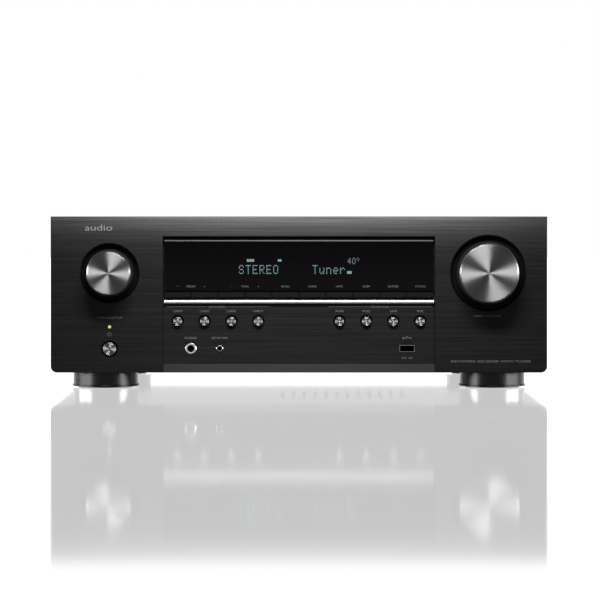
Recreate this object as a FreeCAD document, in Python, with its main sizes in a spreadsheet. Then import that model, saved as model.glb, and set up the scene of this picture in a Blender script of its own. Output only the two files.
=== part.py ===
import FreeCAD, Part
import os
import re
from math import pi

import Sketcher
from FreeCAD import Placement, Rotation, Vector

# An integrated network AV receiver: a steel case behind a moulded front panel, with two rotary knobs,
# a row of ten keys under the display, nine round buttons, front sockets, screw-cap speaker terminals and
# two folding antennas at the back. Millimetres, +Z up, front towards -Y, origin on the floor at the middle.

# Driving dimensions, kept in the document's spreadsheet. Heights are above the floor, x to the right
# as seen from the front, and "back" sizes are measured rearwards from the panel's front face.
SIZES = {
    # front panel moulding
    "panel_width": 434, "panel_bottom": 14, "panel_top": 150.5, "panel_front": -153, "panel_depth": 24,
    "panel_wall": 3, "panel_side": 2.5, "panel_corner": 5.5, "panel_edge": 0.8,
    # the recessed bay in the middle of the panel, and its floor
    "bay_half": 119, "bay_top": 133.3, "bay_depth": 6, "bay_floor": 2.5,
    # display window, module and the aperture behind the window
    "window_half": 117.6, "window_low": 85.7, "window_high": 129.9, "window_set": 1.2, "window_bevel": 1.1,
    "glass_half": 66, "glass_low": 96, "glass_high": 120, "glass_back": 14, "glass_thick": 5,
    # silver trim bar
    "trim_half": 118.6, "trim_low": 74.3, "trim_high": 77.4, "trim_set": 0.6, "trim_round": 1.4,
    # centre panel and its sloped lip
    "centre_half": 118.6, "centre_high": 74.1, "centre_set": 3, "lip_high": 21.5, "lip_set": 0.3,
    # the row of ten keys
    "key_pitch": 23.56, "key_gap": 0.4, "key_low": 79.8, "key_high": 85.4, "key_set": 2.2, "key_thick": 2.6,
    "key_edge": 0.35, "stem_wide": 4, "stem_tall": 3, "stem_room": 0.8, "stem_end": 14.5,
    # round buttons in the centre panel
    "button_level": 58.8, "button_first": 35.5, "button_pitch": 23.5, "button_radius": 4.1,
    "button_ring": 5.6, "button_proud": 2.4, "button_back": 4.8, "button_edge": 0.3,
    "pin_radius": 1.8, "pin_room": 0.6,
    # power button and its lamp
    "power_x": -165.5, "power_level": 34.8, "power_radius": 5.9, "power_ring": 7.2, "power_proud": 0.8,
    "power_floor": 5.6, "power_gap": 1.2, "lamp_level": 54, "lamp_radius": 1.3,
    # knobs; the dish is the round recess that each knob sits in
    "knob_x": 165.5, "knob_level": 101.1, "knob_height": 19.5, "knob_gap": 0.8, "knob_wall": 2.5,
    "knob_hub": 5.5, "dish_depth": 4, "dish_floor": 4, "dish_bevel": 1, "face_inset": 0.7, "face_thick": 0.9,
    "source_dish": 25.3, "source_base": 20.6, "source_face": 18.4,
    "volume_dish": 32.6, "volume_base": 27.4, "volume_face": 25.0,
    # encoder shafts
    "shaft_radius": 3, "shaft_flat": 1.5, "shaft_fit": 0.05, "shaft_hole": 3.7, "shaft_back": 15.15,
    "bore_depth": 12, "bore_room": 0.5,
    # control board behind the front panel
    "board_thick": 1.6, "control_back": 19.5, "control_half": 200, "control_low": 44, "control_high": 122,
    "leg_right": -135, "leg_low": 22, "switch_side": 6, "switch_body": 3, "plunger_radius": 1.6,
    "press_room": 1.2,
    "encoder_side": 12.5, "encoder_body": 4,
    # front sockets
    "socket_level": 35, "phones_x": -94.6, "mic_x": -69.3, "usb_x": 94.6,
    "phones_bore": 3.2, "phones_ring": 4.85, "phones_deep": 26, "phones_body": 12,
    "mic_bore": 1.78, "mic_ring": 2.9, "mic_deep": 15, "mic_body": 8, "socket_set": 2.2, "socket_fit": 0.2,
    "usb_wide": 12.5, "usb_tall": 5.1, "usb_sheet": 0.35, "usb_deep": 14,
    # case: chassis tray, top cover and rear panel
    "sheet": 1, "tray_low": 14, "tray_half": 213, "tray_front": -128.9, "case_back": 149.5, "tray_lip": 14,
    "cover_half": 215, "cover_front": -129, "cover_low": 17, "cover_top": 149.8, "cover_bend": 2,
    "rear_low": 14, "rear_top": 148.6,
    # ventilation slots
    "vent_wide": 3.2, "vent_long": 34, "vent_pitch": 10, "vent_columns": 35, "vent_row_pitch": 52,
    "vent_first": -95, "side_vent_long": 26, "side_vent_low": 84, "side_vent_pitch": 9,
    "side_vent_count": 22, "side_vent_first": -94, "rear_vent_first": 15, "rear_vent_low": 76,
    "rear_vent_count": 20, "tray_vent_first": -15, "tray_vent_count": 12,
    # feet
    "foot_radius": 28.6, "foot_flange": 29.5, "foot_lip": 1.6, "foot_x": 171, "foot_front": -117,
    "foot_rear": 112, "pad_radius": 24, "pad_thick": 1, "foot_wall": 2.5, "foot_bore": 2, "foot_hub": 6,
    # screws
    "head_radius": 3.2, "head_thick": 1.8, "shank_radius": 1.5, "shank_long": 6, "cross_wide": 0.9,
    "cross_long": 3.6, "cross_deep": 1,
    # antennas
    "antenna_x": 199, "antenna_level": 134, "collar_radius": 6.5, "collar_thick": 2.4, "collar_gap": 0.3,
    "pivot_out": 7.7, "ear_near": 2.7, "ear_far": 5.2, "ear_half": 4.4, "pivot_radius": 1.5,
    "pivot_fit": 0.06, "eye_half": 2.4, "eye_radius": 4.2, "rod_start": 7, "rod_length": 92, "rod_radius": 4.9,
    "rod_tip": 4.2,
    # speaker terminals, measured from behind: pairs of posts on 19.05 mm centres
    "post_level": 42, "pair_first": -40, "pair_pitch": 38, "post_half": 9.525, "post_radius": 3,
    "post_bore": 2.02, "post_long": 14, "block_thick": 3, "block_half_tall": 14, "block_margin": 22,
    "collar_wide": 7.6, "collar_tall": 2.5, "cap_radius": 7.2, "cap_bore": 3.08, "cap_gap": 0.3,
    "cap_long": 14.2, "flute_radius": 0.9, "flute_count": 12,
    # digital sockets, measured from behind
    "video_level": 126.8, "video_first": -150, "video_pitch": 22, "video_wide": 15, "video_tall": 5.6,
    "video_sheet": 0.45, "video_deep": 11, "video_chamfer": 1.6, "lan_x": -172, "lan_level": 115.6,
    "lan_wide": 16, "lan_tall": 13.5, "lan_mouth_wide": 11.8, "lan_mouth_tall": 8, "lan_deep": 16,
    "optical_first": -147, "optical_pitch": 19, "optical_side": 9.5, "optical_level": 103, "coax_x": -107,
    "jack_first": -152, "jack_pitch": 18, "jack_low": 58, "jack_rise": 18, "jack_collar": 6.2,
    "jack_barrel": 4.15, "jack_core": 3.2, "jack_long": 8.5, "aerial_x": -177, "aerial_level": 64,
    "aerial_radius": 4.75, "aerial_long": 9, "aerial_seat": 5.7, "aerial_contact": 0.6,
    "jack_seat": 1, "shutter_half": 3.2, "input_back": 12, "socket_proud": 0.6, "board_left": 85,
    "board_step": 160, "board_right": 188, "board_low": 48, "board_high": 114, "board_shelf": 92,
    # mains inlet, measured from behind
    "inlet_x": 170, "inlet_level": 42, "inlet_wide": 28, "inlet_tall": 20, "inlet_rim": 3,
    "inlet_mouth_wide": 24,
    "inlet_mouth_tall": 16, "inlet_deep": 17, "inlet_flange": 1.8, "blade_half": 7, "blade_thick": 2,
    "blade_tall": 4.5, "blade_long": 15,
    # inside the case
    "transformer_x": -140, "transformer_y": -55, "core_wide": 96, "core_deep": 42, "core_tall": 80,
    "coil_deep": 72, "coil_wide": 60, "coil_tall": 54, "coil_round": 5, "bracket_tall": 6,
    "sink_left": -55, "sink_right": 195, "sink_front": 8, "sink_base": 8, "sink_deep": 44, "sink_low": 30,
    "sink_high": 112, "fin_thick": 1.6, "fin_pitch": 8.28, "fin_count": 31,
    "amp_low": 24, "amp_left": -75, "amp_right": 200, "amp_front": -118, "amp_back": 130,
    "can_radius": 17.5, "can_tall": 45, "can_y": -62, "device_wide": 16, "device_tall": 20,
    "device_thick": 4.8, "relay_wide": 22, "relay_deep": 16, "relay_tall": 18,
}

doc = FreeCAD.newDocument("receiver")
sheet = doc.addObject("Spreadsheet::Sheet", "Sizes")
for row, (alias, size) in enumerate(SIZES.items(), start=1):
    sheet.set(f"A{row}", alias)
    sheet.set(f"B{row}", str(size))
    sheet.setAlias(f"B{row}", alias)
doc.recompute()

WORD = re.compile(r"[a-z][a-z_]+")
NODES = []

# Local frames: +Z of a front piece points at the person using it, +Z of a rear piece points out of the back,
# and in both local +Y is up and local +X is to the right of whoever looks at that side.
FACING_FRONT = Rotation(Vector(1, 0, 0), 90)
FACING_REAR = Rotation(Vector(0, 0, 1), 180).multiply(FACING_FRONT)
UPRIGHT = Rotation()
LEFT_TO_RIGHT = Rotation(Vector(0, 1, 0), 90)
OUTWARD = Rotation(Vector(1, 0, 0), -90)
FRONT_FACE = ("0", "panel_front", "0")
BACK_FACE = ("0", "case_back", "0")


def in_sheet(formula):
    """The formula with each alias written as a cell of the spreadsheet."""
    return WORD.sub(r"Sizes.\g<0>", str(formula))


def bind(thing, prop, formula):
    """Ties a property, or a sketch constraint, to the spreadsheet."""
    thing.setExpression(prop, in_sheet(formula))


def amount(formula):
    """A formula's present value, for a sketch's starting positions."""
    found = sheet.evalExpression(in_sheet(formula))
    return float(getattr(found, "Value", found))


def node(thing, label):
    """Marks the object that holds one sub-part and gives it its name."""
    thing.Label = label
    NODES.append(thing)
    return thing


# ---------------------------------------------------------------- sketches and PartDesign features


def new_body(label, place=("0", "0", "0"), turn=UPRIGHT):
    """A body at a place given by three formulas."""
    body = doc.addObject("PartDesign::Body", "Body")
    body.Placement = Placement(Vector(), turn)
    for axis, formula in zip("xyz", place):
        bind(body, f".Placement.Base.{axis}", formula)
    body.Label = label
    return body


def sketch_on(body, height="0", plane="XY_Plane"):
    """A sketch on one of the body's origin planes, raised by height along the plane's normal."""
    sketch = body.newObject("Sketcher::SketchObject", "Sketch")
    role = {feature.Role: feature for feature in body.Origin.OriginFeatures}
    sketch.AttachmentSupport = [(role[plane], "")]
    sketch.MapMode = "FlatFace"
    bind(sketch, ".AttachmentOffset.Base.z", height)
    return sketch


def dimension(sketch, wanted):
    """Adds (kind, what it is about, formula) dimensions to the sketch and ties them to the spreadsheet."""
    made = sketch.addConstraint([Sketcher.Constraint(kind, *about, amount(formula))
                                 for kind, about, formula in wanted])
    for index, (_, _, formula) in zip(made, wanted):
        bind(sketch, f"Constraints[{index}]", formula)


def located(edge, point, x, y):
    """The two dimensions that place one point of an edge from the sketch's origin."""
    return [("DistanceX", (-1, 1, edge, point), x), ("DistanceY", (-1, 1, edge, point), y)]


def polygon(sketch, points):
    """A closed outline through the given pairs of formulas."""
    places = [Vector(amount(x), amount(y), 0) for x, y in points]
    first, count = sketch.GeometryCount, len(points)
    sketch.addGeometry([Part.LineSegment(places[index - 1], places[index]) for index in range(count)], False)
    sketch.addConstraint([Sketcher.Constraint("Coincident", first + index - 1, 2, first + index, 1)
                          for index in range(1, count)]
                         + [Sketcher.Constraint("Coincident", first + count - 1, 2, first, 1)])
    dimension(sketch, [one for index, (x, y) in enumerate(points) for one in located(first + index, 2, x, y)])
    return sketch


def rectangle(sketch, x, y):
    """A rectangle between two pairs of formulas."""
    return polygon(sketch, [(x[0], y[0]), (x[1], y[0]), (x[1], y[1]), (x[0], y[1])])


def disc(sketch, x, y, radius):
    """A circle about a point."""
    centre = Vector(amount(x), amount(y), 0)
    edge = sketch.addGeometry(Part.Circle(centre, Vector(0, 0, 1), amount(radius)), False)
    dimension(sketch, located(edge, 3, x, y) + [("Radius", (edge,), radius)])
    return sketch


def slot(sketch, x, low, high, radius):
    """A slot with round ends, along the sketch's Y, between two levels of its end centres."""
    across, bottom, top, size = amount(x), amount(low), amount(high), amount(radius)
    up = Vector(0, 0, 1)
    first = sketch.GeometryCount
    sketch.addGeometry([
        Part.ArcOfCircle(Part.Circle(Vector(across, bottom, 0), up, size), pi, 2 * pi),
        Part.LineSegment(Vector(across + size, bottom, 0), Vector(across + size, top, 0)),
        Part.ArcOfCircle(Part.Circle(Vector(across, top, 0), up, size), 0, pi),
        Part.LineSegment(Vector(across - size, top, 0), Vector(across - size, bottom, 0))], False)
    sketch.addConstraint([Sketcher.Constraint("Tangent", first + index, 2, first + (index + 1) % 4, 1)
                          for index in range(4)])
    ends = located(first, 3, x, low) + located(first + 2, 3, x, high)
    dimension(sketch, ends + [("Radius", (first,), radius)])
    return sketch


def flatted_circle(sketch, radius, flat):
    """A D-shaped outline: a circle cut off by a level line above its centre."""
    size, level = amount(radius), amount(flat)
    half = (size ** 2 - level ** 2) ** 0.5
    ends = Vector(-half, level, 0), Vector(half, level, 0)
    arc = Part.Arc(ends[0], Vector(0, -size, 0), ends[1])
    sketch.addGeometry([arc, Part.LineSegment(ends[1], ends[0])], False)
    sketch.addConstraint([
        Sketcher.Constraint("Coincident", 0, 2, 1, 1), Sketcher.Constraint("Coincident", 1, 2, 0, 1),
        Sketcher.Constraint("Coincident", 0, 3, -1, 1), Sketcher.Constraint("Horizontal", 1)])
    dimension(sketch, [("Radius", (0,), radius), ("DistanceY", (-1, 1, 1, 1), flat)])
    return sketch


def feature(body, kind, profile=None, **formulas):
    """A PartDesign feature whose sizes are tied to formulas."""
    made = body.newObject(f"PartDesign::{kind}", kind)
    if profile is not None:
        made.Profile = profile
    for prop, formula in formulas.items():
        bind(made, prop, formula)
    body.Tip = made
    return made


def pad(body, profile, length):
    """Adds material from the sketch along its plane's normal."""
    return feature(body, "Pad", profile, Length=length)


def middle_pad(body, profile, length):
    """Adds material to both sides of the sketch."""
    made = feature(body, "Pad", profile, Length=length)
    made.SideType = "Symmetric"
    return made


def pocket(body, profile, depth):
    """Removes material from the sketch against its plane's normal."""
    return feature(body, "Pocket", profile, Length=depth)


def turned(body, points):
    """A solid of revolution about local Z from (radius, height) formulas."""
    profile = polygon(sketch_on(body, plane="XZ_Plane"), points)
    made = feature(body, "Revolution", profile)
    made.ReferenceAxis = (profile, ["V_Axis"])
    made.Angle = 360
    return made


def repeat(body, original, axis, pitch, count):
    """Repeats a feature along one of the body's own axes."""
    role = {part.Role: part for part in body.Origin.OriginFeatures}
    made = body.newObject("PartDesign::LinearPattern", "Repeat")
    made.Originals = [original]
    made.Direction = (role[axis], [""])
    bind(made, "Length", f"{pitch} * ({count} - 1)")
    bind(made, "Occurrences", count)
    body.Tip = made
    return made


def edges_that(solid_feature, test):
    """Names of the edges whose two ends and middle pass a test of their local positions."""
    doc.recompute()
    found = []
    for index, edge in enumerate(solid_feature.Shape.Edges, start=1):
        middle = edge.valueAt((edge.FirstParameter + edge.LastParameter) / 2)
        if all(test(point) for point in [vertex.Point for vertex in edge.Vertexes] + [middle]):
            found.append(f"Edge{index}")
    return found


def soften(body, base, kind, size, test):
    """A fillet or chamfer on the edges that pass the test."""
    names = edges_that(base, test)
    made = body.newObject(f"PartDesign::{kind}", kind)
    made.Base = (base, names)
    bind(made, "Radius" if kind == "Fillet" else "Size", size)
    body.Tip = made
    return made


def close_to(value, target):
    """Whether two lengths agree to a thousandth of a millimetre."""
    return abs(value - target) < 1e-3


# ---------------------------------------------------------------- Part primitives and booleans


def place_at(thing, x, y, z):
    for axis, formula in zip("xyz", (x, y, z)):
        bind(thing, f".Placement.Base.{axis}", formula)
    return thing


def block(x, y, z):
    """A box between three pairs of formulas, in the receiver's own frame."""
    made = doc.addObject("Part::Box", "Block")
    for prop, (low, high) in zip(("Length", "Width", "Height"), (x, y, z)):
        bind(made, prop, f"({high}) - ({low})")
    return place_at(made, x[0], y[0], z[0])


def rod(start, radius, length, turn=UPRIGHT):
    """A cylinder from a start point, along local Z after the turn."""
    made = doc.addObject("Part::Cylinder", "Rod")
    made.Placement = Placement(Vector(), turn)
    bind(made, "Radius", radius)
    bind(made, "Height", length)
    return place_at(made, *start)


def taper(start, first_radius, last_radius, length, turn=UPRIGHT):
    """A cone's frustum from a start point, along local Z after the turn."""
    made = doc.addObject("Part::Cone", "Taper")
    made.Placement = Placement(Vector(), turn)
    bind(made, "Radius1", first_radius)
    bind(made, "Radius2", last_radius)
    bind(made, "Height", length)
    return place_at(made, *start)


def join(*shapes):
    made = doc.addObject("Part::MultiFuse", "Join")
    made.Shapes = list(shapes)
    return made


def group(*shapes):
    """Separate solids that are one sub-part."""
    made = doc.addObject("Part::Compound", "Group")
    made.Links = list(shapes)
    return made


def cut(base, *tools):
    made = doc.addObject("Part::Cut", "Cut")
    made.Base = base
    made.Tool = tools[0] if len(tools) == 1 else join(*tools)
    return made


def rounded(base, radius, test):
    """A fillet on the primitive's edges whose ends and middle pass a test of their positions."""
    doc.recompute()
    made = doc.addObject("Part::Fillet", "Rounded")
    made.Base = base
    size = amount(radius)
    numbers = [int(name[4:]) for name in edges_that(base, test)]
    made.Edges = [(number, size, size) for number in numbers]
    return made


def copies(source, places):
    """Linked copies of a shape, each at an (x, y, z, turn) of its own."""
    made = []
    for x, y, z, turn in places:
        link = doc.addObject("App::Link", "Copy")
        link.LinkedObject = source
        link.Placement = Placement(Vector(), turn)
        made.append(place_at(link, x, y, z))
    return made


# ---------------------------------------------------------------- positions that several pieces share

KEYS = ["preset_down", "preset_up", "tune_down", "tune_up", "band", "mode", "info", "sleep", "dimmer",
        "status"]
BUTTONS = {
    "quick_button_1": "-button_first - 3 * button_pitch",
    "quick_button_2": "-button_first - 2 * button_pitch",
    "quick_button_3": "-button_first - button_pitch",
    "quick_button_4": "-button_first",
    "sound_button_1": "button_first",
    "sound_button_2": "button_first + button_pitch",
    "sound_button_3": "button_first + 2 * button_pitch",
    "sound_button_4": "button_first + 3 * button_pitch",
}
CHANNELS = ["front_right", "front_left", "centre", "surround_right", "surround_left"]
KEY_LEVEL = "(key_low + key_high) / 2"
KEY_CENTRES = [f"({index} - 4.5) * key_pitch" for index in range(len(KEYS))]
POSTS = {}
for number, channel in enumerate(CHANNELS):
    POSTS[f"{channel}_plus"] = f"pair_first + {number} * pair_pitch - post_half"
    POSTS[f"{channel}_minus"] = f"pair_first + {number} * pair_pitch + post_half"
JACKS = [(f"jack_first + {column} * jack_pitch", f"jack_low + {rank} * jack_rise")
         for column in range(4) for rank in range(2)] + [("coax_x", "optical_level")]
VIDEO_PORTS = [f"video_first + {index} * video_pitch" for index in range(7)]
OPTICAL_PORTS = ["optical_first", "optical_first + optical_pitch"]


# ---------------------------------------------------------------- front of the receiver


def front_panel():
    """One moulding: a shell with a recessed bay in the middle and a dished seat behind each knob."""
    body = new_body("front_panel", FRONT_FACE, FACING_FRONT)
    across = ("-panel_width / 2", "panel_width / 2")
    outline = rectangle(sketch_on(body, "-panel_depth"), across, ("panel_bottom", "panel_top"))
    block_out = pad(body, outline, "panel_depth")
    half, low = amount("panel_width / 2"), amount("panel_bottom")
    corners = soften(body, block_out, "Fillet", "panel_corner",
                     lambda at: close_to(abs(at.x), half) and close_to(at.y, low))
    soften(body, corners, "Fillet", "panel_edge", lambda at: close_to(at.z, 0))
    hollow = rectangle(sketch_on(body, "-panel_wall"),
                       ("-panel_width / 2 + panel_side", "panel_width / 2 - panel_side"),
                       ("panel_bottom + panel_side", "panel_top - panel_side"))
    pocket(body, hollow, "panel_depth - panel_wall")
    backing = rectangle(sketch_on(body, "-bay_depth - bay_floor"),
                        ("-bay_half - panel_side", "bay_half + panel_side"),
                        ("panel_bottom + panel_side / 2", "bay_top + panel_side"))
    pad(body, backing, "bay_depth + bay_floor - panel_wall / 2")
    seats = sketch_on(body, "-dish_depth - dish_floor")
    disc(seats, "-knob_x", "knob_level", "source_dish + panel_side")
    disc(seats, "knob_x", "knob_level", "volume_dish + panel_side")
    disc(seats, "power_x", "power_level", "power_ring + panel_side")
    pad(body, seats, "dish_depth + dish_floor - panel_wall / 2")
    bay = rectangle(sketch_on(body), ("-bay_half", "bay_half"), ("panel_bottom - 1", "bay_top"))
    pocket(body, bay, "bay_depth")
    for x, radius in (("-knob_x", "source_dish"), ("knob_x", "volume_dish")):
        dish = disc(sketch_on(body), x, "knob_level", radius)
        recess = pocket(body, dish, "dish_depth")
        size, centre = amount(radius), Vector(amount(x), amount("knob_level"), 0)
        soften(body, recess, "Chamfer", "dish_bevel",
               lambda at, size=size, centre=centre: close_to(at.z, 0) and close_to((at - centre).Length, size))
    pocket(body, disc(sketch_on(body), "power_x", "power_level", "power_ring"), "power_floor")
    holes = sketch_on(body)
    disc(holes, "-knob_x", "knob_level", "shaft_hole")
    disc(holes, "knob_x", "knob_level", "shaft_hole")
    disc(holes, "power_x", "power_level", "pin_radius + pin_room")
    disc(holes, "power_x", "lamp_level", "lamp_radius + 0.1")
    disc(holes, "phones_x", "socket_level", "phones_ring + socket_fit")
    disc(holes, "mic_x", "socket_level", "mic_ring + socket_fit")
    rectangle(holes, ("usb_x - usb_wide / 2 - 1", "usb_x + usb_wide / 2 + 1"),
              ("socket_level - usb_tall / 2 - 1", "socket_level + usb_tall / 2 + 1"))
    rectangle(holes, ("-glass_half + 2", "glass_half - 2"), ("glass_low + 2", "glass_high - 2"))
    for x in BUTTONS.values():
        disc(holes, x, "button_level", "pin_radius + pin_room")
    for x in KEY_CENTRES:
        rectangle(holes, (f"{x} - stem_wide / 2 - stem_room", f"{x} + stem_wide / 2 + stem_room"),
                  (f"{KEY_LEVEL} - stem_tall / 2 - stem_room", f"{KEY_LEVEL} + stem_tall / 2 + stem_room"))
    pocket(body, holes, "dish_depth + dish_floor + 1")
    return node(body, "front_panel")


def display_window():
    """Smoked acrylic plate over the display, bevelled along its top edge."""
    body = new_body("display_window", FRONT_FACE, FACING_FRONT)
    outline = rectangle(sketch_on(body, "-bay_depth"), ("-window_half", "window_half"),
                        ("window_low", "window_high"))
    plate = pad(body, outline, "bay_depth - window_set")
    front, top = -amount("window_set"), amount("window_high")
    soften(body, plate, "Chamfer", "window_bevel", lambda at: close_to(at.z, front) and close_to(at.y, top))
    return node(body, "display_window")


def display_module():
    """The display's glass envelope, held behind the bay's aperture."""
    body = new_body("display_module", FRONT_FACE, FACING_FRONT)
    back = rectangle(sketch_on(body, "-glass_back - glass_thick"), ("-glass_half", "glass_half"),
                     ("glass_low", "glass_high"))
    base = pad(body, back, "glass_thick")
    front = -amount("glass_back")
    soften(body, base, "Chamfer", "panel_edge", lambda at: close_to(at.z, front))
    return node(body, "display_module")


def trim_bar():
    """Silver bar between the keys and the centre panel, rounded along its front."""
    body = new_body("trim_bar", FRONT_FACE, FACING_FRONT)
    outline = rectangle(sketch_on(body, "-bay_depth"), ("-trim_half", "trim_half"), ("trim_low", "trim_high"))
    bar = pad(body, outline, "bay_depth - trim_set")
    front, half = -amount("trim_set"), amount("trim_half")
    soften(body, bar, "Fillet", "trim_round", lambda at: close_to(at.z, front) and abs(at.x) <= half)
    return node(body, "trim_bar")


def centre_panel():
    """Lower half of the bay: a flat plate whose bottom lip slopes forward."""
    body = new_body("centre_panel", FRONT_FACE, FACING_FRONT)
    section = polygon(sketch_on(body, plane="YZ_Plane"), [
        ("panel_bottom", "-lip_set"), ("lip_high", "-centre_set"), ("centre_high", "-centre_set"),
        ("centre_high", "-bay_depth"), ("panel_bottom", "-bay_depth")])
    middle_pad(body, section, "2 * centre_half")
    holes = sketch_on(body)
    for x in BUTTONS.values():
        disc(holes, x, "button_level", "button_ring")
    disc(holes, "phones_x", "socket_level", "phones_ring + socket_fit")
    disc(holes, "mic_x", "socket_level", "mic_ring + socket_fit")
    rectangle(holes, ("usb_x - usb_wide / 2 - usb_sheet - 0.1", "usb_x + usb_wide / 2 + usb_sheet + 0.1"),
              ("socket_level - usb_tall / 2 - usb_sheet - 0.1", "socket_level + usb_tall / 2 + usb_sheet + 0.1"))
    pocket(body, holes, "bay_depth + 1")
    return node(body, "centre_panel")


def key(label, x):
    """One flat key of the row under the display, with the stem that presses its switch."""
    body = new_body(label, (x, "panel_front", KEY_LEVEL), FACING_FRONT)
    half_wide, half_tall = "(key_pitch - key_gap) / 2", "(key_high - key_low) / 2"
    cap = rectangle(sketch_on(body, "-key_set - key_thick"), (f"-{half_wide}", half_wide),
                    (f"-{half_tall}", half_tall))
    plate = pad(body, cap, "key_thick")
    front = -amount("key_set")
    soften(body, plate, "Fillet", "key_edge", lambda at: close_to(at.z, front))
    stem = rectangle(sketch_on(body, "-stem_end"), ("-stem_wide / 2", "stem_wide / 2"),
                     ("-stem_tall / 2", "stem_tall / 2"))
    pad(body, stem, "stem_end - key_set - key_thick / 2")
    return node(body, label)


def round_button(label, x, z, front, back, radius):
    """A round metal-faced button with its stem; front and back are measured from the panel's face."""
    body = new_body(label, (x, "panel_front", z), FACING_FRONT)
    turned(body, [("0", "-stem_end"), ("pin_radius", "-stem_end"), ("pin_radius", back), (radius, back),
                  (radius, f"{front} - button_edge"), (f"{radius} - button_edge", front), ("0", front)])
    return node(body, label)


def knob(label, x, base, face):
    """A hollow tapered knob on a D-shaped bore, with a shallow seat for its metal face."""
    body = new_body(label, (x, "panel_front + dish_depth - knob_gap", "knob_level"), FACING_FRONT)
    turned(body, [
        ("0", "1"), ("knob_hub", "1"), ("knob_hub", "knob_height - knob_wall - 1"),
        (f"{face} - knob_wall", "knob_height - knob_wall - 1"), (f"{base} - knob_wall", "0"), (base, "0"),
        (f"{face} + 0.6", "knob_height - 0.3"), (f"{face} + 0.3", "knob_height"),
        (f"{face} + 0.1", "knob_height"),
        (f"{face} + 0.1", "knob_height - face_inset"), ("0", "knob_height - face_inset")])
    bore = flatted_circle(sketch_on(body, "bore_depth"), "shaft_radius + shaft_fit", "shaft_flat + shaft_fit")
    pocket(body, bore, "bore_depth")
    return node(body, label)


def knob_face(label, x, face):
    """The knob's spun aluminium face, a thin plate with a bevelled rim."""
    seat = "panel_front + dish_depth - knob_gap - knob_height + face_inset"
    body = new_body(label, (x, seat, "knob_level"), FACING_FRONT)
    turned(body, [("0", "0"), (face, "0"), (face, "face_thick - 0.35"), (f"{face} - 0.45", "face_thick"),
                  ("0", "face_thick")])
    return node(body, label)


def encoder_shaft(label, x):
    """The encoder's D-shaped shaft, which turns with its knob."""
    body = new_body(label, (x, "panel_front + shaft_back", "knob_level"), FACING_FRONT)
    length = "shaft_back - dish_depth + knob_gap + bore_depth - bore_room"
    pad(body, flatted_circle(sketch_on(body), "shaft_radius", "shaft_flat"), length)
    return node(body, label)


def control_board():
    """Board behind the front panel, with its push switches, lamp and encoder bodies."""
    front, back = "panel_front + control_back", "panel_front + control_back + board_thick"
    plate = join(
        block(("-control_half", "control_half"), (front, back), ("control_low", "control_high")),
        block(("-control_half", "leg_right"), (front, back), ("leg_low", "control_low + 1")))
    pieces = [plate]
    switches = [(x, "button_level") for x in BUTTONS.values()] + [(x, KEY_LEVEL) for x in KEY_CENTRES]
    for x, z in switches + [("power_x", "power_level")]:
        case = block((f"{x} - switch_side / 2", f"{x} + switch_side / 2"), (f"{front} - switch_body", front),
                     (f"{z} - switch_side / 2", f"{z} + switch_side / 2"))
        plunger = rod((x, f"{front} - switch_body", z), "plunger_radius",
                      "control_back - switch_body - stem_end - press_room", FACING_FRONT)
        pieces.append(join(case, plunger))
    for x in ("-knob_x", "knob_x"):
        pieces.append(block((f"{x} - encoder_side / 2", f"{x} + encoder_side / 2"),
                            (f"{front} - encoder_body", front),
                            ("knob_level - encoder_side / 2", "knob_level + encoder_side / 2")))
    lamp = rod(("power_x", front, "lamp_level"), "lamp_radius", "control_back + 0.3", FACING_FRONT)
    return node(group(*pieces, lamp), "control_board")


def round_socket(label, x, ring, bore, deep, side):
    """A jack socket: a bushing that shows as a ring in the panel, and the housing behind it."""
    body = new_body(label, (x, "panel_front", "socket_level"), FACING_FRONT)
    bushing = disc(sketch_on(body, "-bay_depth - bay_floor"), "0", "0", ring)
    tube = pad(body, bushing, "bay_depth + bay_floor - socket_set")
    front, size = -amount("socket_set"), amount(ring)
    soften(body, tube, "Chamfer", "0.5", lambda at: close_to(at.z, front))
    housing = rectangle(sketch_on(body, f"-socket_set - {deep} - 1.2"), (f"-{side} / 2", f"{side} / 2"),
                        (f"-{side} / 2", f"{side} / 2"))
    pad(body, housing, f"socket_set + {deep} + 1.2 - bay_depth - bay_floor")
    pocket(body, disc(sketch_on(body), "0", "0", bore), f"socket_set + {deep}")
    return node(body, label)


def usb_port():
    """USB type A receptacle: a folded steel shell round a plastic tongue."""
    back, front = "panel_front + centre_set + usb_deep - 1", "panel_front + centre_set - 0.4"
    x = ("usb_x - usb_wide / 2", "usb_x + usb_wide / 2")
    z = ("socket_level - usb_tall / 2", "socket_level + usb_tall / 2")
    outer = block((f"{x[0]} - usb_sheet", f"{x[1]} + usb_sheet"), (front, back),
                  (f"{z[0]} - usb_sheet", f"{z[1]} + usb_sheet"))
    shell = cut(outer, block(x, (f"{front} - 1", f"{back} + 1"), z))
    tongue = join(block((f"{x[0]} + 0.7", f"{x[1]} - 0.7"), (f"{front} + 1.5", f"{back} - 2"),
                        (f"{z[1]} - 2.45", f"{z[1]} - 0.6")),
                  block((f"{x[0]} + 0.02", f"{x[1]} - 0.02"), (f"{back} - 2.5", back),
                        (f"{z[0]} + 0.02", f"{z[1]} - 0.02")))
    return node(group(shell, tongue), "usb_port")


# ---------------------------------------------------------------- case


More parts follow.
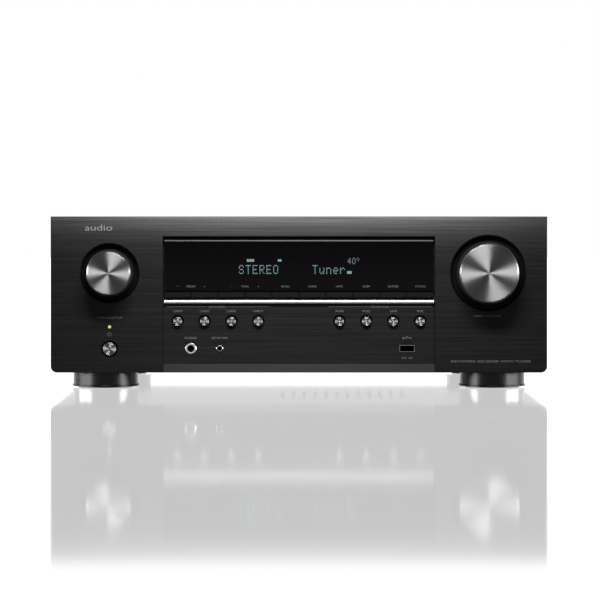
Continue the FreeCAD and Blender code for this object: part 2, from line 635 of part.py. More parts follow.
def chassis():
    """Folded steel tray that carries the works, the feet and both end panels."""
    body = new_body("chassis")
    across, deep = ("-tray_half", "tray_half"), ("tray_front", "case_back - sheet")
    floor = pad(body, rectangle(sketch_on(body, "tray_low"), across, deep), "tray_lip + sheet")
    hollow = rectangle(sketch_on(body, "tray_low + tray_lip + sheet"),
                       ("-tray_half + sheet", "tray_half - sheet"),
                       ("tray_front + sheet", "case_back + 1"))
    pocket(body, hollow, "tray_lip")
    vents = sketch_on(body, "tray_low + sheet")
    for low in ("vent_first + vent_row_pitch", "vent_first + 2 * vent_row_pitch"):
        slot(vents, "tray_vent_first", low, f"{low} + vent_long", "vent_wide / 2")
    repeat(body, pocket(body, vents, "sheet + 1"), "X_Axis", "vent_pitch", "tray_vent_count")
    return node(body, "chassis")


def top_cover():
    """Folded steel cover: top and both sides in one sheet, slotted for air."""
    body = new_body("top_cover")
    section = polygon(sketch_on(body, plane="XZ_Plane"), [
        ("-cover_half", "cover_low"), ("-cover_half", "cover_top"), ("cover_half", "cover_top"),
        ("cover_half", "cover_low"), ("cover_half - sheet", "cover_low"),
        ("cover_half - sheet", "cover_top - sheet"),
        ("-cover_half + sheet", "cover_top - sheet"), ("-cover_half + sheet", "cover_low")])
    bind(section, ".AttachmentOffset.Base.z", "-case_back")
    folded = pad(body, section, "case_back - cover_front")
    half, top = amount("cover_half"), amount("cover_top")
    soften(body, folded, "Fillet", "cover_bend", lambda at: close_to(abs(at.x), half) and close_to(at.z, top))
    top_vents = sketch_on(body, "cover_top")
    for row in range(4):
        low = f"vent_first + {row} * vent_row_pitch"
        slot(top_vents, "(1 - vent_columns) / 2 * vent_pitch", low, f"{low} + vent_long", "vent_wide / 2")
    repeat(body, pocket(body, top_vents, "sheet + 1"), "X_Axis", "vent_pitch", "vent_columns")
    side_vents = sketch_on(body, "cover_half + 1", plane="YZ_Plane")
    slot(side_vents, "side_vent_first", "side_vent_low", "side_vent_low + side_vent_long", "vent_wide / 2")
    repeat(body, pocket(body, side_vents, "2 * cover_half + 2"), "Y_Axis", "side_vent_pitch", "side_vent_count")
    screws = sketch_on(body, "cover_half + 1", plane="YZ_Plane")
    for y in ("cover_front + 14", "case_back - 16"):
        disc(screws, y, "cover_low + 5", "shank_radius + 0.3")
    pocket(body, screws, "2 * cover_half + 2")
    return node(body, "top_cover")


def rear_panel():
    """Flat steel back with an opening for every socket."""
    body = new_body("rear_panel", BACK_FACE, FACING_REAR)
    outline = rectangle(sketch_on(body, "-sheet"), ("-tray_half", "tray_half"),
                        ("rear_low", "rear_top"))
    pad(body, outline, "sheet")
    holes = sketch_on(body)
    for x in VIDEO_PORTS:
        rectangle(holes, (f"{x} - video_wide / 2 - 0.5", f"{x} + video_wide / 2 + 0.5"),
                  ("video_level - video_tall / 2 - 0.5", "video_level + video_tall / 2 + 0.5"))
    rectangle(holes, ("lan_x - lan_wide / 2 - 0.3", "lan_x + lan_wide / 2 + 0.3"),
              ("lan_level - lan_tall / 2 - 0.3", "lan_level + lan_tall / 2 + 0.3"))
    for x in OPTICAL_PORTS:
        rectangle(holes, (f"{x} - optical_side / 2 - 0.3", f"{x} + optical_side / 2 + 0.3"),
                  ("optical_level - optical_side / 2 - 0.3", "optical_level + optical_side / 2 + 0.3"))
    for x, level in JACKS:
        disc(holes, x, level, "jack_collar + 0.3")
    disc(holes, "aerial_x", "aerial_level", "aerial_radius + 1")
    rectangle(holes, ("pair_first - block_margin + 3", "pair_first + 4 * pair_pitch + block_margin - 3"),
              ("post_level - block_half_tall + 3", "post_level + block_half_tall - 3"))
    rectangle(holes, ("inlet_x - inlet_wide / 2 - socket_fit", "inlet_x + inlet_wide / 2 + socket_fit"),
              ("inlet_level - inlet_tall / 2 - socket_fit", "inlet_level + inlet_tall / 2 + socket_fit"))
    pocket(body, holes, "sheet + 1")
    vents = sketch_on(body)
    slot(vents, "rear_vent_first", "rear_vent_low", "rear_vent_low + vent_long", "vent_wide / 2")
    repeat(body, pocket(body, vents, "sheet + 1"), "X_Axis", "side_vent_pitch", "rear_vent_count")
    return node(body, "rear_panel")


def feet():
    """Four hollow moulded feet, each with a rubber pad let into its base."""
    inside = "foot_radius - foot_wall"
    moulding = new_body("foot")
    turned(moulding, [
        ("foot_bore", "pad_thick"), ("foot_flange", "pad_thick"),
        ("foot_flange", "pad_thick + foot_lip - 0.5"), ("foot_flange - 0.4", "pad_thick + foot_lip"),
        ("foot_radius", "pad_thick + foot_lip"), ("foot_radius", "tray_low"), (inside, "tray_low"),
        (inside, "pad_thick + foot_wall"), ("foot_hub", "pad_thick + foot_wall"),
        ("foot_hub", "tray_low"), ("foot_bore", "tray_low")])
    rubber = new_body("pad")
    turned(rubber, [("foot_hub", "0"), ("pad_radius", "0"), ("pad_radius", "pad_thick"),
                    ("foot_hub", "pad_thick")])
    places = [(x, y, "0", UPRIGHT) for x in ("-foot_x", "foot_x") for y in ("foot_front", "foot_rear")]
    return node(group(*copies(group(moulding, rubber), places)), "feet")


def case_screws():
    """Cross-head screws: two in each side of the cover, and the rear panel's."""
    head = taper(("0", "0", "0"), "head_radius", "head_radius - 0.7", "head_thick")
    shank = rod(("0", "0", "-shank_long"), "shank_radius", "shank_long + 0.1")
    half, wide = "cross_long / 2", "cross_wide / 2"
    recess = ("head_thick - cross_deep", "head_thick + 1")
    screw = cut(join(head, shank), block((f"-{half}", half), (f"-{wide}", wide), recess),
                block((f"-{wide}", wide), (f"-{half}", half), recess))
    places = []
    for y in ("cover_front + 14", "case_back - 16"):
        places += [("cover_half", y, "cover_low + 5", LEFT_TO_RIGHT),
                   ("-cover_half", y, "cover_low + 5", LEFT_TO_RIGHT.inverted())]
    for x in ("-180", "-60", "60", "180"):
        places.append((f"-({x})", "case_back", "rear_top - 6", FACING_REAR))
    for x in ("-205", "-90", "0", "145", "205"):
        places.append((f"-({x})", "case_back", "rear_low + 5", FACING_REAR))
    return node(group(*copies(screw, places)), "case_screws")


# ---------------------------------------------------------------- back of the receiver


def antenna_base(label, x):
    """Swivelling collar with two ears and the pivot pin between them."""
    pivot_y = "case_back + pivot_out"
    collar = rod((x, "case_back + collar_gap", "antenna_level"), "collar_radius", "collar_thick", OUTWARD)
    pieces = [collar]
    for low, high in (("-ear_far", "-ear_near"), ("ear_near", "ear_far")):
        pieces.append(block((f"{x} + {low}", f"{x} + {high}"),
                            ("case_back + collar_gap + collar_thick - 0.5", pivot_y),
                            ("antenna_level - ear_half", "antenna_level + ear_half")))
        pieces.append(rod((f"{x} + {low}", pivot_y, "antenna_level"), "ear_half", "ear_far - ear_near",
                          LEFT_TO_RIGHT))
    pieces.append(rod((f"{x} - ear_far", pivot_y, "antenna_level"), "pivot_radius", "2 * ear_far",
                      LEFT_TO_RIGHT))
    return node(join(*pieces), label)


def antenna_rod(label, x):
    """Rod antenna, hanging from the eye that turns on the base's pin."""
    pivot = (f"{x} - eye_half", "case_back + pivot_out", "antenna_level")
    eye = rod(pivot, "eye_radius", "2 * eye_half", LEFT_TO_RIGHT)
    neck = block((f"{x} - eye_half", f"{x} + eye_half"),
                 ("case_back + pivot_out - 2.2", "case_back + pivot_out + 2.2"),
                 ("antenna_level - rod_start - 2", "antenna_level - 2.5"))
    stick = taper((x, "case_back + pivot_out", "antenna_level - rod_length"), "rod_tip", "rod_radius",
                  "rod_length - rod_start")
    hole = rod((f"{x} - 2 * eye_half", pivot[1], pivot[2]), "pivot_radius + pivot_fit", "4 * eye_half",
               LEFT_TO_RIGHT)
    return node(cut(join(eye, neck, stick), hole), label)


def speaker_terminals():
    """Moulded terminal block with ten bored metal posts."""
    body = new_body("block", BACK_FACE, FACING_REAR)
    plate = rectangle(sketch_on(body),
                      ("pair_first - block_margin", "pair_first + 4 * pair_pitch + block_margin"),
                      ("post_level - block_half_tall", "post_level + block_half_tall"))
    base = pad(body, plate, "block_thick")
    front = amount("block_thick")
    soften(body, base, "Chamfer", "panel_edge", lambda at: close_to(at.z, front))
    spigot = rectangle(sketch_on(body, "-8"),
                       ("pair_first - block_margin + 4", "pair_first + 4 * pair_pitch + block_margin - 4"),
                       ("post_level - block_half_tall + 4", "post_level + block_half_tall - 4"))
    pad(body, spigot, "9")
    collars = sketch_on(body, "block_thick - 0.5")
    for x in POSTS.values():
        disc(collars, x, "post_level", "collar_wide")
    pad(body, collars, "collar_tall + 0.5")
    metal = []
    for x in POSTS.values():
        post = new_body("post", (f"-({x})", "case_back + block_thick + collar_tall", "post_level"), FACING_REAR)
        pad(post, disc(sketch_on(post), "0", "0", "post_radius"), "post_long - collar_tall + 1")
        pocket(post, disc(sketch_on(post, "post_long"), "0", "0", "post_bore"), "post_long - 1")
        metal.append(post)
    return node(group(body, *metal), "speaker_terminals")


def terminal_cap(label, x):
    """Fluted screw cap that clamps a speaker wire against its post's collar."""
    seat = "case_back + block_thick + collar_tall + cap_gap"
    body = new_body(label, (f"-({x})", seat, "post_level"), FACING_REAR)
    turned(body, [("cap_bore", "0"), ("cap_radius", "0"), ("cap_radius", "cap_long - 1.4"),
                  ("cap_radius - 1", "cap_long"), ("cap_bore", "cap_long")])
    flute = disc(sketch_on(body, "cap_long + 1"), "cap_radius + flute_radius / 2", "0", "flute_radius")
    first = pocket(body, flute, "cap_long - 1")
    ring = body.newObject("PartDesign::PolarPattern", "Flutes")
    ring.Originals = [first]
    ring.Axis = (flute, ["N_Axis"])
    ring.Angle = 360
    bind(ring, "Occurrences", "flute_count")
    body.Tip = ring
    return node(body, label)


def digital_board():
    """Upper rear board with its video and network sockets."""
    pieces = [block(("-(coax_x) - 90", "190"), ("70", "case_back - 4"),
                    ("video_level - video_tall / 2 - board_thick", "video_level - video_tall / 2"))]
    half_wide, half_tall = "video_wide / 2", "video_tall / 2"
    for x in VIDEO_PORTS:
        body = new_body("port", (f"-({x})", "case_back", "video_level"), FACING_REAR)
        outer = rectangle(sketch_on(body, "-video_deep"), (f"-{half_wide}", half_wide),
                          (f"-{half_tall}", half_tall))
        pad(body, outer, "video_deep + socket_proud")
        mouth = polygon(sketch_on(body, "socket_proud"), [
            (f"-{half_wide} + video_sheet", f"{half_tall} - video_sheet"),
            (f"-{half_wide} + video_sheet", f"-{half_tall} + video_sheet + video_chamfer"),
            (f"-{half_wide} + video_sheet + video_chamfer", f"-{half_tall} + video_sheet"),
            (f"{half_wide} - video_sheet - video_chamfer", f"-{half_tall} + video_sheet"),
            (f"{half_wide} - video_sheet", f"-{half_tall} + video_sheet + video_chamfer"),
            (f"{half_wide} - video_sheet", f"{half_tall} - video_sheet")])
        pocket(body, mouth, "video_deep - 1")
        tongue = rectangle(sketch_on(body, "socket_proud - video_deep + 0.5"), ("-5.6", "5.6"), ("-0.2", "1.1"))
        pad(body, tongue, "video_deep - 1.5")
        pieces.append(body)
    lan_y = ("case_back - lan_deep", "case_back + socket_proud")
    socket = block(("-(lan_x) - lan_wide / 2", "-(lan_x) + lan_wide / 2"), lan_y,
                   ("lan_level - lan_tall / 2", "lan_level + lan_tall / 2"))
    mouth = block(("-(lan_x) - lan_mouth_wide / 2", "-(lan_x) + lan_mouth_wide / 2"),
                  ("case_back - lan_deep + 3", "case_back + 2"),
                  ("lan_level - lan_mouth_tall / 2", "lan_level + lan_mouth_tall / 2"))
    pieces.append(cut(socket, mouth))
    return node(group(*pieces), "digital_board")


def input_board():
    """Upright rear board with the phono jacks, optical inputs and aerial socket."""
    back = "case_back - input_back"
    board = join(
        block(("board_left", "board_step"), (f"{back} - board_thick", back), ("board_low", "board_high")),
        block(("board_step - 1", "board_right"), (f"{back} - board_thick", back), ("board_low", "board_shelf")))
    pieces = [board]
    for x, level in JACKS:
        seat = rod((f"-({x})", back, level), "jack_collar", "input_back + jack_seat", OUTWARD)
        barrel = rod((f"-({x})", back, level), "jack_barrel", "input_back + jack_long", OUTWARD)
        gap = rod((f"-({x})", "case_back + jack_seat", level), "jack_core", "jack_long", OUTWARD)
        core = rod((f"-({x})", "case_back + jack_seat / 2", level), "pin_radius", "jack_long - jack_seat", OUTWARD)
        pieces.append(join(cut(join(seat, barrel), gap), core))
    for x in OPTICAL_PORTS:
        case = block((f"-({x}) - optical_side / 2", f"-({x}) + optical_side / 2"),
                     (back, "case_back + socket_proud"),
                     ("optical_level - optical_side / 2", "optical_level + optical_side / 2"))
        shutter = block((f"-({x}) - shutter_half", f"-({x}) + shutter_half"), ("case_back", "case_back + 2"),
                        ("optical_level - shutter_half", "optical_level + shutter_half"))
        pieces.append(cut(case, shutter))
    seat = rod(("-(aerial_x)", back, "aerial_level"), "aerial_seat", "input_back + jack_seat", OUTWARD)
    barrel = rod(("-(aerial_x)", back, "aerial_level"), "aerial_radius", "input_back + aerial_long", OUTWARD)
    contact = rod(("-(aerial_x)", "case_back", "aerial_level"), "aerial_contact", "2 * aerial_long", OUTWARD)
    pieces.append(cut(join(seat, barrel), contact))
    return node(group(*pieces), "input_board")


def ac_inlet():
    """Two-pole mains inlet: a flanged moulding with two flat blades in its recess."""
    x, z = "-(inlet_x)", "inlet_level"
    flange = block((f"{x} - inlet_wide / 2 - inlet_rim", f"{x} + inlet_wide / 2 + inlet_rim"),
                   ("case_back", "case_back + inlet_flange"),
                   (f"{z} - inlet_tall / 2 - inlet_rim", f"{z} + inlet_tall / 2 + inlet_rim"))
    case = block((f"{x} - inlet_wide / 2", f"{x} + inlet_wide / 2"),
                 ("case_back - inlet_deep - 3", "case_back + 0.5"),
                 (f"{z} - inlet_tall / 2", f"{z} + inlet_tall / 2"))
    mouth = block((f"{x} - inlet_mouth_wide / 2", f"{x} + inlet_mouth_wide / 2"),
                  ("case_back - inlet_deep", "case_back + 5"),
                  (f"{z} - inlet_mouth_tall / 2", f"{z} + inlet_mouth_tall / 2"))
    pieces = [cut(join(flange, case), mouth)]
    for side in ("-", "+"):
        centre = f"{x} {side} blade_half"
        pieces.append(block((f"{centre} - blade_thick / 2", f"{centre} + blade_thick / 2"),
                            ("case_back - inlet_deep", "case_back - inlet_deep + blade_long"),
                            (f"{z} - blade_tall / 2", f"{z} + blade_tall / 2")))
    return node(group(*pieces), "ac_inlet")


# ---------------------------------------------------------------- inside the case


def transformer():
    """Laminated mains transformer with its coil and clamp feet."""
    floor = "tray_low + sheet"
    x, y = "transformer_x", "transformer_y"
    core = block((f"{x} - core_wide / 2", f"{x} + core_wide / 2"),
                 (f"{y} - core_deep / 2", f"{y} + core_deep / 2"),
                 (f"{floor} + bracket_tall", f"{floor} + bracket_tall + core_tall"))
    level = f"{floor} + bracket_tall + core_tall / 2"
    pieces = [core]
    for near, far, outer in ((f"{y} - coil_deep / 2", f"{y} - core_deep / 2", 0),
                             (f"{y} + core_deep / 2", f"{y} + coil_deep / 2", 1)):
        coil = block((f"{x} - coil_wide / 2", f"{x} + coil_wide / 2"), (near, far),
                     (f"{level} - coil_tall / 2", f"{level} + coil_tall / 2"))
        bulge = amount((near, far)[outer])
        pieces.append(rounded(coil, "coil_round", lambda at, bulge=bulge: close_to(at.y, bulge)))
    for side in ("-", "+"):
        pieces.append(block((f"{x} {side} core_wide / 2 - 10", f"{x} {side} core_wide / 2 + 10"),
                            (f"{y} - core_deep / 2", f"{y} + core_deep / 2"),
                            (floor, f"{floor} + bracket_tall")))
    return node(group(*pieces), "transformer")


def heatsink():
    """Extruded aluminium heatsink across the case, its fins upright."""
    body = new_body("heatsink", ("sink_left", "sink_front", "sink_low"))
    base = rectangle(sketch_on(body), ("0", "sink_right - sink_left"), ("0", "sink_base"))
    pad(body, base, "sink_high - sink_low")
    fin = pad(body, rectangle(sketch_on(body), ("0", "fin_thick"), ("sink_base - 1", "sink_deep")),
              "sink_high - sink_low")
    repeat(body, fin, "X_Axis", "fin_pitch", "fin_count")
    return node(body, "heatsink")


def amplifier_board():
    """Main board on the chassis: reservoir capacitors, output devices and speaker relays."""
    top = "amp_low + board_thick"
    pieces = [block(("amp_left", "amp_right"), ("amp_front", "amp_back"), ("amp_low", top))]
    corners = [(x, y) for x in ("-60", "60", "185") for y in ("-100", "115")]
    for x, y in corners:
        pieces.append(rod((x, y, "tray_low + sheet"), "3", "amp_low - tray_low - sheet"))
    for x in ("-30", "14"):
        pieces.append(rod((x, "can_y", top), "can_radius", "can_tall"))
    for index in range(10):
        x = f"-42 + {index} * 24.5"
        pieces.append(block((x, f"{x} + device_wide"), ("sink_front - device_thick", "sink_front"),
                            ("sink_low + 14", "sink_low + 14 + device_tall")))
    for index in range(5):
        x = f"-60 + {index} * 30"
        pieces.append(block((x, f"{x} + relay_wide"), ("84", "84 + relay_deep"), (top, f"{top} + relay_tall")))
    return node(group(*pieces), "amplifier_board")


# ---------------------------------------------------------------- the whole receiver


def build():
    front_panel()
    display_window()
    display_module()
    trim_bar()
    centre_panel()
    for name, x in zip(KEYS, KEY_CENTRES):
        key(f"key_{name}", x)
    for label, x in BUTTONS.items():
        round_button(label, x, "button_level", "button_proud - centre_set", "-button_back", "button_radius")
    round_button("power_button", "power_x", "power_level", "power_proud", "-power_floor + power_gap",
                 "power_radius")
    for name, side in (("source", "-knob_x"), ("volume", "knob_x")):
        knob(f"{name}_knob", side, f"{name}_base", f"{name}_face")
        knob_face(f"{name}_knob_face", side, f"{name}_face")
        encoder_shaft(f"{name}_encoder_shaft", side)
    control_board()
    round_socket("phones_jack", "phones_x", "phones_ring", "phones_bore", "phones_deep", "phones_body")
    round_socket("mic_jack", "mic_x", "mic_ring", "mic_bore", "mic_deep", "mic_body")
    usb_port()
    chassis()
    top_cover()
    rear_panel()
    feet()
    case_screws()
    for side, x in (("left", "-antenna_x"), ("right", "antenna_x")):
        antenna_base(f"{side}_antenna_base", x)
        antenna_rod(f"{side}_antenna_rod", x)
    speaker_terminals()
    for label, x in POSTS.items():
        terminal_cap(f"cap_{label}", x)
    digital_board()
    input_board()
    ac_inlet()
    transformer()
    heatsink()
    amplifier_board()


def check_and_write():
    """Stops on any failed object, then writes each sub-part's solids."""
    doc.recompute()
    failed = [f"{thing.Label}: {thing.State}" for thing in doc.Objects
              if "Invalid" in thing.State or "Error" in thing.State]
    if failed:
        raise SystemExit("failed objects: " + ", ".join(failed))
    os.makedirs("parts", exist_ok=True)
    for thing in NODES:
        shape = thing.Shape
        if shape.isNull() or not shape.isValid() or not shape.Solids:
            raise SystemExit(f"{thing.Label} has no valid solid")
        shape.exportStep(os.path.join("parts", thing.Label + ".step"))
        print(f"{thing.Label}: {len(shape.Solids)} solids, {shape.Volume / 1000:.2f} cm3")
    print(len(NODES), "sub-parts")


build()
check_and_write()
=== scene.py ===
from math import cos, pi, radians, sin

import bpy
from mathutils import Matrix, Vector


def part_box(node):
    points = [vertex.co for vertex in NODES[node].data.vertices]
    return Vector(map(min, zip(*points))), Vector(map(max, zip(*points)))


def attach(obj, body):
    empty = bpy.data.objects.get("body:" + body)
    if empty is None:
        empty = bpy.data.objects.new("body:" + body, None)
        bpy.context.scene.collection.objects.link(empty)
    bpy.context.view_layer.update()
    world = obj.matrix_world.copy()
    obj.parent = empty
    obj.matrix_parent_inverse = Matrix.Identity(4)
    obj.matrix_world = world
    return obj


# Looks of a network AV receiver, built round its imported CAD. Metres, +Z up, front towards -Y.

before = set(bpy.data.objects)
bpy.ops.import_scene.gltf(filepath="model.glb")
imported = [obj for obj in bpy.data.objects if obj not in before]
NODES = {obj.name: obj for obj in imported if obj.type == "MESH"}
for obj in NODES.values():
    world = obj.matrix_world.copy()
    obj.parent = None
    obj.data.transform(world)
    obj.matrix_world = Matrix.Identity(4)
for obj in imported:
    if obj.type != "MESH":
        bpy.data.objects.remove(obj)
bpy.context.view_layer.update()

MM = 0.001


def middle(node):
    """Centre of a CAD node's box."""
    low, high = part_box(node)
    return (low + high) / 2


PANEL_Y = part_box("front_panel")[0].y        # front face of the front panel
WINDOW_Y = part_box("display_window")[0].y    # front face of the window, where the display's light shows
CENTRE_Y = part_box("centre_panel")[0].y
PANEL_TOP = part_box("front_panel")[1].z
BACK_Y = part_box("rear_panel")[1].y          # outer face of the rear panel
SOURCE_DIAL, VOLUME_DIAL = middle("source_knob_face"), middle("volume_knob_face")
POWER = middle("power_button")
USB = middle("usb_port")
PHONES, MIC = middle("phones_jack"), middle("mic_jack")
POWER_LAMP_Z, POWER_LAMP_RADIUS = 54 * MM, 1.5 * MM
NETWORK = Vector((172 * MM, BACK_Y, 115.6 * MM))    # middle of the network socket's mouth
INLET_X, INLET_Z = -170 * MM, 42 * MM               # middle of the mains inlet
VIDEO_FIRST, VIDEO_PITCH = 150 * MM, 22 * MM        # the seven video sockets, in a row
JACK_FIRST, JACK_PITCH = 152 * MM, 18 * MM          # the four columns of phono jacks
TERMINAL_FIRST, TERMINAL_PITCH = 40 * MM, 38 * MM   # the five pairs of speaker terminals
KEYS = ["preset_down", "preset_up", "tune_down", "tune_up", "band", "mode", "info", "sleep", "dimmer",
        "status"]
QUICK = [f"quick_button_{n}" for n in range(1, 5)]
SOUND = [f"sound_button_{n}" for n in range(1, 5)]


# ---------------------------------------------------------------- materials


def new_material(name):
    """A material with its Principled shader, and a maker of further nodes."""
    made = bpy.data.materials.new(name)
    made.use_nodes = True
    tree = made.node_tree
    shader = tree.nodes["Principled BSDF"]

    def add(kind, **settings):
        created = tree.nodes.new(kind)
        for key, value in settings.items():
            setattr(created, key, value)
        return created

    return made, shader, add, tree.links.new


def grey(tone):
    return (tone, tone, tone)


def plain(name, colour, roughness, metallic=0.0, specular=0.5, coat=0.0, grain=0.0, grain_scale=900,
          bump=0.0):
    """A finish with fine grain in its roughness and surface."""
    made, shader, add, link = new_material(name)
    shader.inputs["Specular IOR Level"].default_value = specular
    shader.inputs["Base Color"].default_value = (*colour, 1)
    shader.inputs["Metallic"].default_value = metallic
    shader.inputs["Roughness"].default_value = roughness
    shader.inputs["Coat Weight"].default_value = coat
    shader.inputs["Coat Roughness"].default_value = 0.1
    if grain or bump:
        noise = add("ShaderNodeTexNoise")
        noise.inputs["Scale"].default_value = grain_scale
        noise.inputs["Detail"].default_value = 3
        link(add_coordinates(add), noise.inputs["Vector"])
    if grain:
        spread = add("ShaderNodeMapRange")
        spread.inputs["To Min"].default_value = max(roughness - grain, 0.02)
        spread.inputs["To Max"].default_value = roughness + grain
        link(noise.outputs["Fac"], spread.inputs["Value"])
        link(spread.outputs["Result"], shader.inputs["Roughness"])
    if bump:
        raised = add("ShaderNodeBump")
        raised.inputs["Strength"].default_value = 1
        raised.inputs["Distance"].default_value = bump
        link(noise.outputs["Fac"], raised.inputs["Height"])
        link(raised.outputs["Normal"], shader.inputs["Normal"])
    return made


def add_coordinates(add):
    """A point's place in metres, in its piece's own coordinates."""
    return add("ShaderNodeTexCoord").outputs["Object"]


def glow(name, colour, strength):
    """A lit element: its colour comes from emission."""
    made, shader, _, _ = new_material(name)
    shader.inputs["Base Color"].default_value = (0.0, 0.0, 0.0, 1)
    shader.inputs["Roughness"].default_value = 0.6
    shader.inputs["Emission Color"].default_value = (*colour, 1)
    shader.inputs["Emission Strength"].default_value = strength
    return made


def add_shades(add, link, pattern, colour, dark, bright):
    """A colour's shades along a pattern. Dark and bright are (place in the pattern, times the colour)."""
    tone = add("ShaderNodeValToRGB")
    for element, (place, times) in zip(tone.color_ramp.elements, (dark, bright)):
        element.position = place
        element.color = (*[part * times for part in colour], 1)
    link(pattern, tone.inputs["Fac"])
    return tone.outputs["Color"]


def add_distance(add, link, where, centre):
    """How far a point is from the line along Y through the centre."""
    away = add("ShaderNodeVectorMath", operation="SUBTRACT")
    away.inputs[1].default_value = centre
    link(where, away.inputs[0])
    flat = add("ShaderNodeVectorMath", operation="MULTIPLY")
    flat.inputs[1].default_value = (1, 0, 1)
    link(away.outputs["Vector"], flat.inputs[0])
    length = add("ShaderNodeVectorMath", operation="LENGTH")
    link(flat.outputs["Vector"], length.inputs[0])
    return length.outputs["Value"]


def add_dish_and_gap_shade(add, link, where, centre, radius, colour):
    """A colour that turns to deep black inside a circle of the front: the black dishes round the knobs and
    the power button, and painted shade in the gaps round the centre panel's buttons.
    """
    inside = add("ShaderNodeMath", operation="LESS_THAN")
    inside.inputs[1].default_value = radius
    link(add_distance(add, link, where, centre), inside.inputs[0])
    mix = add("ShaderNodeMix", data_type="RGBA")
    mix.inputs["B"].default_value = (*grey(0.004), 1)
    link(inside.outputs[0], mix.inputs["Factor"])
    link(colour, mix.inputs["A"])
    return mix.outputs["Result"]


STREAKS = (9, 9, 1100)        # how fine the hairlines' noise is along X, Y and Z
STREAK_DEPTH = 0.02 * MM
ROLL_REACH = 50 * MM          # how far below the panel's top its shading begins to lean back
ROLL_POWER = 3                # the lean sets in slowly and is strongest at the top


def brushed_black(name, colour, rise, dishes_and_gap_shades=()):
    """Black hairline finish: streaks run along X, and the shading leans back a little towards the top."""
    made, shader, add, link = new_material(name)
    where = add_coordinates(add)
    stretch = add("ShaderNodeMapping")
    stretch.inputs["Scale"].default_value = STREAKS
    link(where, stretch.inputs["Vector"])
    streaks = add("ShaderNodeTexNoise")
    streaks.inputs["Scale"].default_value = 1
    streaks.inputs["Detail"].default_value = 4
    streaks.inputs["Roughness"].default_value = 0.7
    link(stretch.outputs["Vector"], streaks.inputs["Vector"])
    height = add("ShaderNodeSeparateXYZ")
    link(where, height.inputs["Vector"])
    climb = add("ShaderNodeMapRange")
    climb.inputs["From Min"].default_value = PANEL_TOP - ROLL_REACH
    climb.inputs["From Max"].default_value = PANEL_TOP
    link(height.outputs["Z"], climb.inputs["Value"])
    curve = add("ShaderNodeMath", operation="POWER")
    curve.inputs[1].default_value = ROLL_POWER
    link(climb.outputs["Result"], curve.inputs[0])
    profile = add("ShaderNodeMath", operation="MULTIPLY")
    profile.inputs[1].default_value = -rise
    link(curve.outputs[0], profile.inputs[0])
    both = add("ShaderNodeMath", operation="MULTIPLY_ADD")
    both.inputs[1].default_value = STREAK_DEPTH
    link(streaks.outputs["Fac"], both.inputs[0])
    link(profile.outputs[0], both.inputs[2])
    raised = add("ShaderNodeBump")
    raised.inputs["Strength"].default_value = 1
    raised.inputs["Distance"].default_value = 1
    link(both.outputs[0], raised.inputs["Height"])
    link(raised.outputs["Normal"], shader.inputs["Normal"])
    shader.inputs["Metallic"].default_value = 1
    shader.inputs["Roughness"].default_value = 0.42
    shader.inputs["Anisotropic"].default_value = 0.4
    shader.inputs["Anisotropic Rotation"].default_value = 0.25
    tangent = add("ShaderNodeTangent", direction_type="RADIAL", axis="Z")
    link(tangent.outputs["Tangent"], shader.inputs["Tangent"])
    shade = add_shades(add, link, streaks.outputs["Fac"], colour, dark=(0.3, 0.62), bright=(0.72, 1.45))
    # Black circles: the dishes round the knobs and the power button, and painted shade in the gap round each
    # centre-panel button.
    for centre, radius in dishes_and_gap_shades:
        shade = add_dish_and_gap_shade(add, link, where, centre, radius, shade)
    link(shade, shader.inputs["Base Color"])
    return made


def spun(name, colour, roughness, anisotropy):
    """Metal turned on a lathe: the highlight spreads out from the middle in wedges."""
    made, shader, add, link = new_material(name)
    shader.inputs["Metallic"].default_value = 1
    shader.inputs["Roughness"].default_value = roughness
    shader.inputs["Anisotropic"].default_value = anisotropy
    shader.inputs["Anisotropic Rotation"].default_value = 0.25
    tangent = add("ShaderNodeTangent", direction_type="RADIAL", axis="Y")
    link(tangent.outputs["Tangent"], shader.inputs["Tangent"])
    across = add("ShaderNodeTexCoord").outputs["Generated"]    # from 0 to 1 over the piece's box
    grooves = add("ShaderNodeTexNoise", noise_dimensions="1D")
    grooves.inputs["Scale"].default_value = 260
    grooves.inputs["Detail"].default_value = 2
    link(add_distance(add, link, across, (0.5, 0.5, 0.5)), grooves.inputs["W"])
    shade = add_shades(add, link, grooves.outputs["Fac"], colour, dark=(0.25, 0.8), bright=(0.75, 1.15))
    link(shade, shader.inputs["Base Color"])
    return made


def board_finish(name):
    """Green solder mask with paler copper runs under it."""
    made, shader, add, link = new_material(name)
    cells = add("ShaderNodeTexBrick")
    cells.inputs["Scale"].default_value = 90
    cells.inputs["Color1"].default_value = (0.006, 0.05, 0.02, 1)
    cells.inputs["Color2"].default_value = (0.008, 0.065, 0.026, 1)
    cells.inputs["Mortar"].default_value = (0.02, 0.11, 0.045, 1)
    link(add_coordinates(add), cells.inputs["Vector"])
    link(cells.outputs["Color"], shader.inputs["Base Color"])
    shader.inputs["Roughness"].default_value = 0.35
    return made


